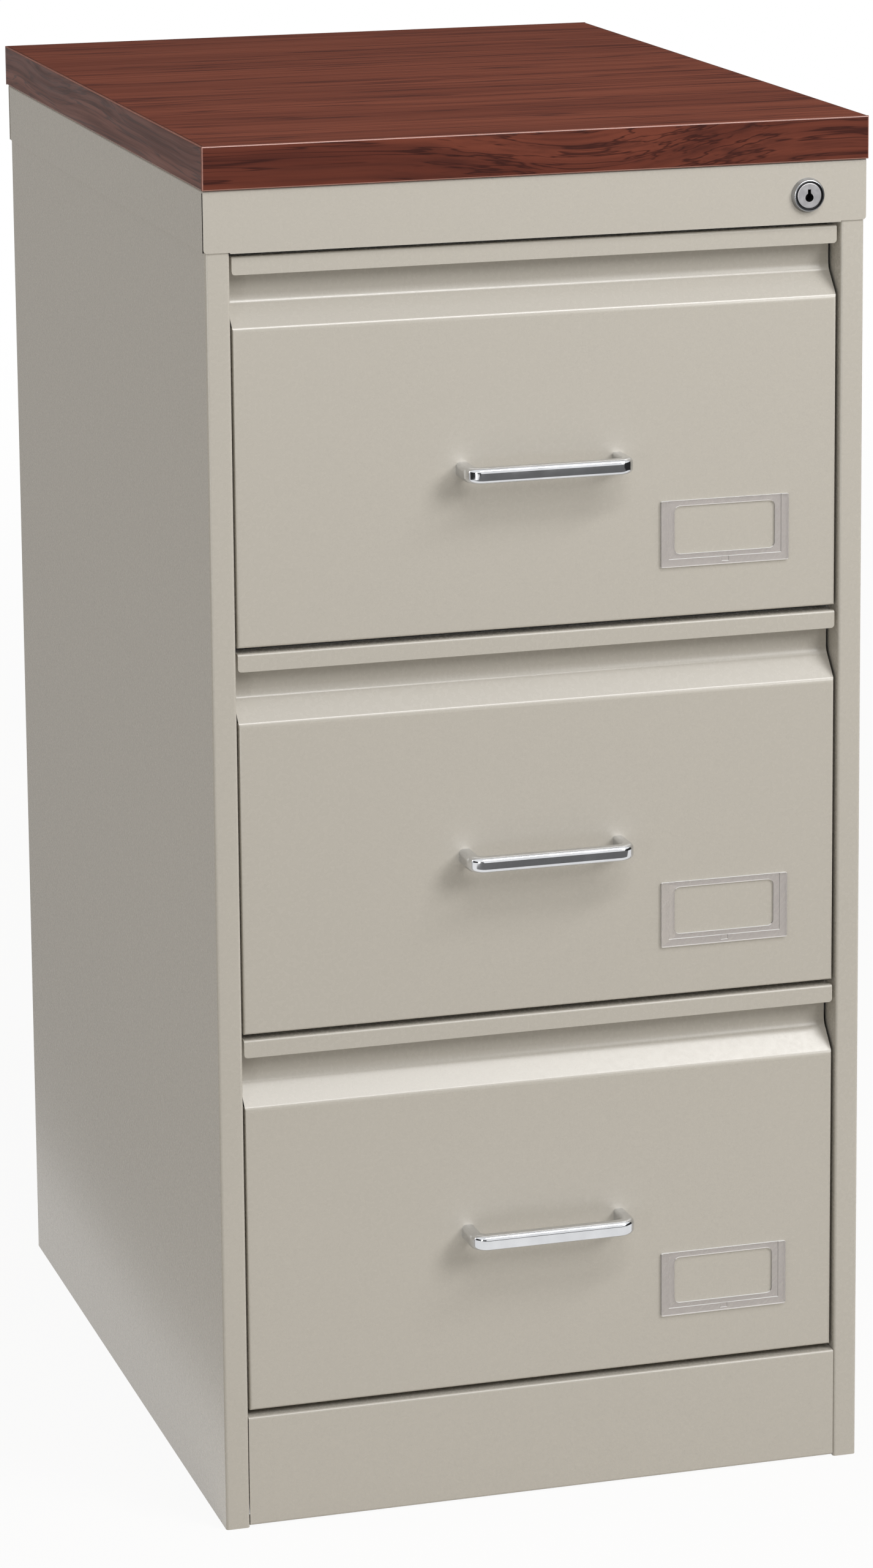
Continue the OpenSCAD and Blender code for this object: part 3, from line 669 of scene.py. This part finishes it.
def model_handle():
    left = handle_low.x
    handle = start_sheet("bottom_pull", (left, handle_high.y, handle_low.z),
                         (left + BAR_D, handle_high.y, handle_high.z), "-Y")
    round_corners(handle, lambda m, w: at(m.x, left), OUTER_ROUND, 6)
    round_corners(handle, lambda m, w: at(m.x, left + BAR_D), INNER_ROUND, 4)
    pick(handle, "FACE", lambda m, w: True)
    leg = (handle_high.y - handle_low.y) - TURN_R
    bpy.ops.mesh.extrude_region_move(TRANSFORM_OT_translate={"value": (0, -leg, 0)})
    centre_y = handle_low.y + TURN_R
    bpy.ops.mesh.spin(steps=12, angle=-math.pi / 2, center=(left + TURN_R, centre_y, handle_low.z), axis=(0, 0, 1))
    across = (handle_high.x - handle_low.x) - 2 * TURN_R
    bpy.ops.mesh.extrude_region_move(TRANSFORM_OT_translate={"value": (across, 0, 0)})
    bpy.ops.mesh.spin(steps=12, angle=-math.pi / 2, center=(handle_high.x - TURN_R, centre_y, handle_low.z),
                      axis=(0, 0, 1))
    bpy.ops.mesh.extrude_region_move(TRANSFORM_OT_translate={"value": (0, leg, 0)})
    pick(handle, "VERT", lambda m, w: True)
    bpy.ops.mesh.remove_doubles(threshold=WELD)
    recalculate_normals(handle)
    return handle


# %% [markdown]
# ## The label holders
# The holder is a clear moulding with a window. Three of its sides stand a little proud of the card's guides, and the
# fourth is open, so that a card can be slid in from above. Insets could draw these steps too, but they aren't the
# same on all sides, so a block is cut by three others: one for the card's guide, one for the window with its round
# corners, and one for the small notch at the foot.

# %% Label holders
label_low, label_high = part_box("bottom_label_holder")
RIM = 5.7 * MM
STEP = 0.5 * MM
PAST = 1 * MM
WINDOW = {"left": 10 * MM, "right": 10.3 * MM, "foot": 9.1 * MM, "head": 4.2 * MM, "corner": 4 * MM}
NOTCH = {"half": 2.5 * MM, "foot": 2.3 * MM, "deep": 0.25 * MM, "lap": 0.1 * MM}
HOLDER_CORNER_R = 1.2 * MM


def model_label_holder():
    holder = start_block("bottom_card_holder", label_low, label_high)
    groove = start_block("card_guide", (label_low.x + RIM, label_low.y - PAST, label_low.z + RIM),
                         (label_high.x - RIM, label_low.y + STEP, label_high.z + PAST))
    cut(holder, groove)
    middle_x = (label_low.x + label_high.x) / 2
    window = start_block("window",
                         (label_low.x + WINDOW["left"], label_low.y - PAST, label_low.z + WINDOW["foot"]),
                         (label_high.x - WINDOW["right"], label_high.y + PAST, label_high.z - WINDOW["head"]))
    bend(window, lambda m, w: abs(w.y) > 0.9, WINDOW["corner"], 6)
    cut(holder, window)
    notch = start_block("notch",
                        (middle_x - NOTCH["half"], label_low.y - PAST, label_low.z + NOTCH["foot"]),
                        (middle_x + NOTCH["half"], label_low.y + NOTCH["deep"], label_low.z + RIM + NOTCH["lap"]))
    cut(holder, notch)
    half_w = (label_high.x - label_low.x) / 2
    bend(holder, lambda m, w: abs(w.y) > 0.9 and at(abs(m.x - middle_x), half_w), HOLDER_CORNER_R, 3)
    ease_edges(holder, 0.24 * MM, segments=1, angle=40)
    return holder


def paint_rim_highlight_and_shade(holder):
    """Gives the level rims the painted highlight and the upright ones the painted shade."""
    holder.data.materials.clear()
    for finish in (CLEAR, CLEAR_RIM_HIGHLIGHT, CLEAR_SIDE_SHADE):
        holder.data.materials.append(finish)
    for face in holder.data.polygons:
        across, level = abs(face.normal.x), abs(face.normal.z)
        face.material_index = 0 if max(across, level) < 0.3 else 1 if level >= across else 2


# %% [markdown]
# ## Three drawers
# The three drawers are alike, so each front, handle and holder is modelled once, at the bottom, and copied upwards.
# Each copy has its own mesh and rides on its own drawer.

# %% Three of each
first_front, first_handle, first_holder = model_front(), model_handle(), model_label_holder()
paint_rim_highlight_and_shade(first_holder)
for row in ROWS:
    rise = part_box(f"{row}_front")[0].z - front_low.z
    made = []
    for part, first in (("drawer_front", first_front), ("pull", first_handle), ("card_holder", first_holder)):
        made.append(first if row == "bottom" else copy_up(first, f"{row}_{part}", rise))
    hand_over(made[0], f"{row}_drawer", "steel_paint", PAINT, f"{row}_front")
    hand_over(made[1], f"{row}_drawer", "chrome", CHROME, f"{row}_handle", angle=40)
    hand_over(made[2], f"{row}_drawer", "clear_plastic", None, f"{row}_label_holder", angle=25)

# %% [markdown]
# ## The lock
# The bezel is a turned ring with a sloping face. It starts as a rod: the front end is scaled down to make the slope,
# its edge is rounded, and two bores leave room for the plug and for the groove round it. The groove and the bore get
# a nearly black steel, a painted shade. The plug has a keyway, cut by a slot with a round hole at its foot, and the
# walls inside the keyway get the same painted shade.

# %% Lock
plug_low, plug_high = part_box("lock_plug")
PLUG_R = (plug_high.x - plug_low.x) / 2
BEZEL_R = (lock_high.x - lock_low.x) / 2
BEZEL_OUT = cap_low.y - lock_low.y
GROOVE = 1.3 * MM


def model_bezel():
    bezel = start_rod("lock_bezel", LOCK, BEZEL_R, BEZEL_OUT, sides=128)
    pick(bezel, "FACE", lambda m, w: w.y < -0.9)
    bpy.ops.transform.resize(value=(0.90, 1, 0.90), center_override=LOCK)
    bend(bezel, lambda m, w: at(m.y, LOCK.y), 0.7 * MM, 4)
    cut(bezel, start_rod("bezel_groove", LOCK - Vector((0, 1 * MM, 0)), PLUG_R + GROOVE, 3.2 * MM, sides=128))
    cut(bezel, start_rod("plug_bore", LOCK - Vector((0, 3 * MM, 0)), PLUG_R + 0.05 * MM, 30 * MM, sides=128))
    barrel = start_rod("barrel", LOCK + Vector((0, BEZEL_OUT, 0)), BARREL_R, lock_high.y - LOCK.y - BEZEL_OUT)
    cut(barrel, start_rod("barrel_bore", LOCK, PLUG_R + 0.05 * MM, 40 * MM))
    in_object_mode(bezel)
    barrel.select_set(True)
    bpy.ops.object.join()
    bezel.data.materials.append(BEZEL_CHROME)
    bezel.data.materials.append(GROOVE_SHADE_STEEL)
    # The groove and bore faces get the nearly black steel, a painted shade.
    for face in bezel.data.polygons:
        from_axis = math.hypot(face.center.x - LOCK.x, face.center.z - LOCK.z)
        face.material_index = 1 if from_axis < PLUG_R + GROOVE + 0.05 * MM else 0
    return bezel


def model_plug():
    front = Vector((LOCK.x, plug_low.y, LOCK.z))
    plug = start_rod("lock_core", front, PLUG_R, lock_high.y - plug_low.y, sides=128)
    bend(plug, lambda m, w: at(m.y, plug_low.y), 0.35 * MM, 3)
    slot = start_block("key_slot", (front.x - 1.1 * MM, front.y - 1 * MM, front.z - 1.5 * MM),
                       (front.x + 1.1 * MM, front.y + 12 * MM, front.z + 4.4 * MM))
    cut(plug, slot)
    cut(plug, start_rod("key_hole", front + Vector((0, -1 * MM, -1.4 * MM)), 3.0 * MM, 12 * MM, sides=40))
    ease_edges(plug, 0.12 * MM, segments=1, angle=60)
    tail = start_rod("plug_tail", Vector((front.x, lock_high.y, front.z)), 3 * MM, plug_high.y - lock_high.y, sides=48)
    in_object_mode(plug)
    tail.select_set(True)
    bpy.ops.object.join()
    plug.data.materials.append(turned_steel("turned steel", LOCK))
    plug.data.materials.append(GROOVE_SHADE_STEEL)
    # The walls inside the keyway get the nearly black steel, a painted shade.
    for face in plug.data.polygons:
        from_axis = math.hypot(face.center.x - LOCK.x, face.center.z - LOCK.z)
        inside = face.center.y > plug_low.y + 0.3 * MM and from_axis < PLUG_R - 0.5 * MM
        face.material_index = 1 if inside else 0
    return plug


hand_over(model_bezel(), "cabinet", "chrome", None, "lock_housing", angle=35)
hand_over(model_plug(), "lock_cylinder", "chrome", None, "lock_plug", angle=35)

# %% [markdown]
# ## Finishes for the rest
# The trays, slides, rails and the lock's works keep the shape that they were built with. They only need their
# finishes, which are looked up by the slot that each one names.

# %% Carried-over parts
FINISHES = {"steel_paint": PAINT, "zinc": ZINC, "chrome": CHROME, "rubber": RUBBER, "nylon": NYLON,
            "wood_laminate": BOARD_WOOD, "wood_edging": EDGE_WOOD, "clear_plastic": CLEAR}
for entry in frame["record"]["subparts"]:
    part = frame["nodes"][entry["node"]]
    part.data.materials.clear()
    part.data.materials.append(FINISHES[entry["material_slot"]])

# %% [markdown]
# ## The studio
# A white floor, a large soft light to the front right and weaker ones round it give the front its even tone and the
# left side its shade. The floor and the cards glow only where they are seen or mirrored, so they aren't sampled as
# lamps. Two thin glints light no surface evenly: they only show as fine lines on the bends. Cards that
# only reflections can see put dark and grey bands into the chrome.

# %% Floor and world
def seen_directly(tree):
    """1 for rays from the camera, from a mirror or through glass, and 0 for the light that falls on things."""
    path = node(tree, "ShaderNodeLightPath").outputs
    some = node(tree, "ShaderNodeMath", {0: path["Is Camera Ray"], 1: path["Is Glossy Ray"]}, operation="MAXIMUM")
    return node(tree, "ShaderNodeMath", {0: some.outputs[0], 1: path["Is Transmission Ray"]},
                operation="MAXIMUM").outputs[0]


world = bpy.data.worlds.new("studio")
bpy.context.scene.world = world
world.use_nodes = True
sky = world.node_tree
for old in list(sky.nodes):
    sky.nodes.remove(old)
lit = node(sky, "ShaderNodeBackground", {"Color": (1, 1, 1, 1), "Strength": 0.385})
shown = node(sky, "ShaderNodeBackground", {"Color": (1, 1, 1, 1), "Strength": 1.0})
both = node(sky, "ShaderNodeMixShader", {0: seen_directly(sky), 1: lit.outputs[0], 2: shown.outputs[0]})
node(sky, "ShaderNodeOutputWorld", {"Surface": both.outputs[0]})

in_object_mode(None)
bpy.ops.mesh.primitive_plane_add(size=14, location=(0, 0, 0))
floor = named("floor")
floor_material = bpy.data.materials.new("white floor")
floor_material.use_nodes = True
tree = floor_material.node_tree
for old in list(tree.nodes):
    tree.nodes.remove(old)
matte = node(tree, "ShaderNodeBsdfDiffuse", {"Color": (0.74, 0.71, 0.66, 1)})
glow = node(tree, "ShaderNodeEmission", {"Color": (1, 1, 1, 1), "Strength": 1.0})
away = node(tree, "ShaderNodeVectorMath", {0: object_coords(tree)}, operation="LENGTH").outputs["Value"]
share = node(tree, "ShaderNodeMath", {0: seen_directly(tree), 1: remap(tree, away, 1.2, 5.0, 0.93, 1.0)},
             operation="MULTIPLY").outputs[0]
mixed = node(tree, "ShaderNodeMixShader", {0: share, 1: matte.outputs[0], 2: glow.outputs[0]})
node(tree, "ShaderNodeOutputMaterial", {"Surface": mixed.outputs[0]})
floor_material.cycles.emission_sampling = "NONE"
floor.data.materials.append(floor_material)

# %% [markdown]
# ## Lights
# A softbox is an area light turned towards the cabinet. A card is a glowing sheet that only mirrored rays can meet,
# which is how a polished bar gets its dark and grey bands without any light being taken from the paint.

# %% Lights and cards
def soft_light(name, place, target, width, height, power, colour=(1, 1, 1)):
    """A softbox that looks at target."""
    in_object_mode(None)
    bpy.ops.object.light_add(type="AREA", location=place)
    lamp = bpy.context.object
    lamp.name = name
    lamp.data.shape = "RECTANGLE"
    lamp.data.size, lamp.data.size_y = width, height
    lamp.data.energy = power
    lamp.data.color = colour
    lamp.rotation_euler = (Vector(target) - Vector(place)).to_track_quat("-Z", "Y").to_euler()
    lamp.visible_camera = False
    return lamp


def reflection_card(name, low, high, facing, grey):
    """A card that only shows in reflections, as the black and grey flags round a product do."""
    card = start_sheet(name, low, high, facing)
    card.visible_camera = card.visible_diffuse = card.visible_shadow = card.visible_transmission = False
    material = bpy.data.materials.new(name)
    material.use_nodes = True
    for old in list(material.node_tree.nodes):
        material.node_tree.nodes.remove(old)
    light = node(material.node_tree, "ShaderNodeEmission", {"Color": (grey, grey, grey, 1)})
    node(material.node_tree, "ShaderNodeOutputMaterial", {"Surface": light.outputs[0]})
    material.cycles.emission_sampling = "NONE"
    card.data.materials.append(material)


middle = Vector((0, 0, 0.5))
soft_light("key_light", (2.2, -3.2, 2.6), middle, 1.4, 1.4, 73)
soft_light("strip_light", (0.65, -1.8, 2.75), middle, 2.6, 0.28, 26)
soft_light("left_fill", (-2.4, -3.0, 0.8), middle, 0.3, 1.8, 7)
soft_light("side_light", (-3.4, 0.6, 1.9), middle + Vector((0, 0, 0.25)), 1.2, 1.4, 19, (1.0, 0.94, 0.88))
crease_glint = soft_light("crease_glint", (0.65, -1.8, 2.75), middle, 2.6, 0.22, 60)
corner_glint = soft_light("corner_glint", (-2.4, -3.0, 0.6), middle, 0.2, 2.0, 50)
crease_glint.visible_diffuse = corner_glint.visible_diffuse = False
reflection_card("back_card", (-6, 4, 1.15), (6, 4, 5), "-Y", 0.05)
reflection_card("back_low_card", (-6, 4, 0), (6, 4, 1.15), "-Y", 0.40)
reflection_card("left_floor_card", (-6, -0.3, 0.002), (-0.3, 4, 0.002), "+Z", 0.40)
reflection_card("front_floor_card", (-1.5, -6, 0.002), (3.5, -1.1, 0.002), "+Z", 0.17)
reflection_card("left_card", (-2.6, -2.6, 0), (-2.6, -0.5, 1.6), "-X", 0.03)
reflection_card("front_left_card", (-3.6, -4.6, 0), (-0.9, -4.6, 1.7), "-Y", 0.03)
reflection_card("right_card", (2.6, -3.2, 0), (2.6, 0.6, 1.6), "-X", 0.03)

# %% [markdown]
# ## The camera
# A long lens stands a little to the left and above, turned towards the cabinet. A small downward shift keeps the
# uprights close to parallel, as a product photographer's view camera does.

# %% Camera
YAW, PITCH, ROLL = math.radians(16.40), math.radians(11.11), math.radians(-0.50)
in_object_mode(None)
bpy.ops.object.camera_add(location=(-1.064, -3.671, 1.434))
camera = bpy.context.object
turn = Matrix.Rotation(-YAW, 3, "Z") @ Matrix.Rotation(math.pi / 2 - PITCH, 3, "X") @ Matrix.Rotation(ROLL, 3, "Z")
camera.rotation_euler = turn.to_euler()
camera.data.sensor_width = 36
camera.data.lens = 120.3
camera.data.shift_y = -0.2
camera.data.clip_end = 50
bpy.context.scene.camera = camera
bpy.context.scene.view_settings.view_transform = "Standard"
